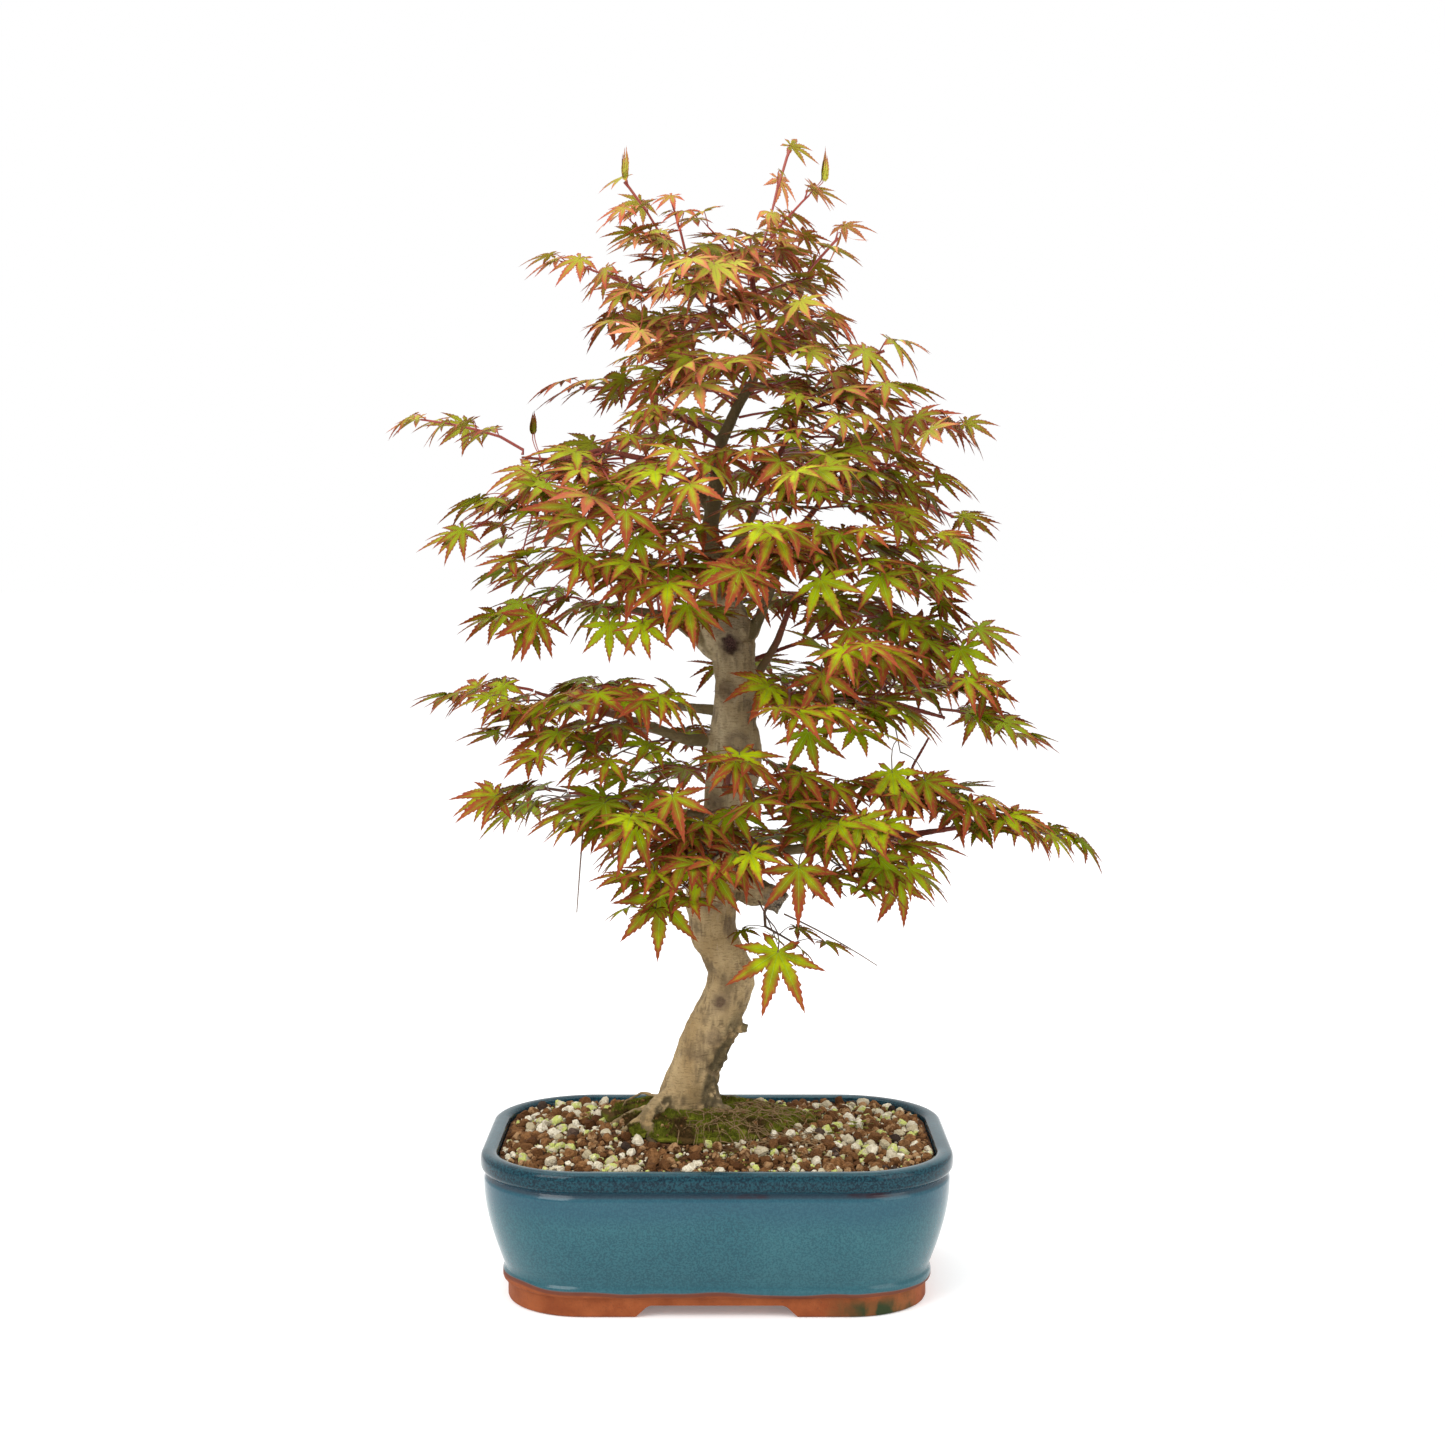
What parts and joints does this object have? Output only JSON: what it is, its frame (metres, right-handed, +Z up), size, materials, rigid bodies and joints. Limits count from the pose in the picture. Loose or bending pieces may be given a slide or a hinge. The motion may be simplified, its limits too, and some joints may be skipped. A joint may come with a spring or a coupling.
{
  "type": "potted bonsai tree",
  "caption": "Broadleaf bonsai with a sinuous upright trunk and layered sprays of lobed leaves, growing from mossy soil in a glazed oblong pot on low feet.",
  "frame": {"origin": "on the surface it stands on, under the middle of the whole object's bounding box", "axes": "+Z up, towards the top of the tree; +X to the viewer's right along the pot's long side; -Y towards the viewer, so the pot's long front faces -Y"},
  "size_m": [0.4192, 0.27, 0.6802],
  "materials": {
    "glaze": "gloss",
    "mesh_plastic": "matte",
    "wire": "satin",
    "soil": "matte",
    "moss": "matte",
    "bark": "matte",
    "leaf": "satin"
  },
  "bodies": {
    "root": {"drain_mesh_left": "mesh_plastic", "drain_mesh_right": "mesh_plastic", "leaf_spray_apex_back": "leaf", "leaf_spray_apex_front": "leaf", "leaf_spray_apex_left_inner": "leaf", "leaf_spray_apex_left_middle": "leaf", "leaf_spray_apex_left_outer": "leaf", "leaf_spray_apex_right_inner": "leaf", "leaf_spray_apex_right_outer": "leaf", "leaf_spray_apex_top": "leaf", "leaf_spray_base_front_lower": "leaf", "leaf_spray_base_front_upper": "leaf", "leaf_spray_base_left_front": "leaf", "leaf_spray_base_left_outer": "leaf", "leaf_spray_base_right_front": "leaf", "leaf_spray_base_right_outer": "leaf", "leaf_spray_base_right_rise": "leaf", "leaf_spray_far_left": "leaf", "leaf_spray_far_right": "leaf", "leaf_spray_high_front": "leaf", "leaf_spray_high_left_back": "leaf", "leaf_spray_high_left_front": "leaf", "leaf_spray_high_left_middle": "leaf", "leaf_spray_high_left_outer": "leaf", "leaf_spray_high_right_back": "leaf", "leaf_spray_high_right_front": "leaf", "leaf_spray_high_right_low": "leaf", "leaf_spray_high_right_middle": "leaf", "leaf_spray_high_right_outer": "leaf", "leaf_spray_low_left_back": "leaf", "leaf_spray_low_left_front": "leaf", "leaf_spray_low_left_middle": "leaf", "leaf_spray_low_left_outer": "leaf", "leaf_spray_low_right_back": "leaf", "leaf_spray_low_right_inner": "leaf", "leaf_spray_low_right_middle": "leaf", "leaf_spray_low_right_outer": "leaf", "leaf_spray_low_right_upper": "leaf", "leaf_spray_mid_front": "leaf", "leaf_spray_mid_left_front": "leaf", "leaf_spray_mid_left_middle": "leaf", "leaf_spray_mid_left_outer": "leaf", "leaf_spray_mid_right_back": "leaf", "leaf_spray_mid_right_front": "leaf", "leaf_spray_mid_right_middle": "leaf", "leaf_spray_mid_right_outer": "leaf", "leaf_spray_skirt_left": "leaf", "leaf_spray_skirt_right": "leaf", "leaf_spray_upper_front": "leaf", "leaf_spray_upper_left_inner": "leaf", "leaf_spray_upper_left_outer": "leaf", "leaf_spray_upper_right_inner": "leaf", "leaf_spray_upper_right_low": "leaf", "leaf_spray_upper_right_outer": "leaf", "mesh_clip_left": "wire", "mesh_clip_right": "wire", "moss": "moss", "pot": "glaze", "soil": "soil", "trunk": "bark"}
  },
  "joints": []
}
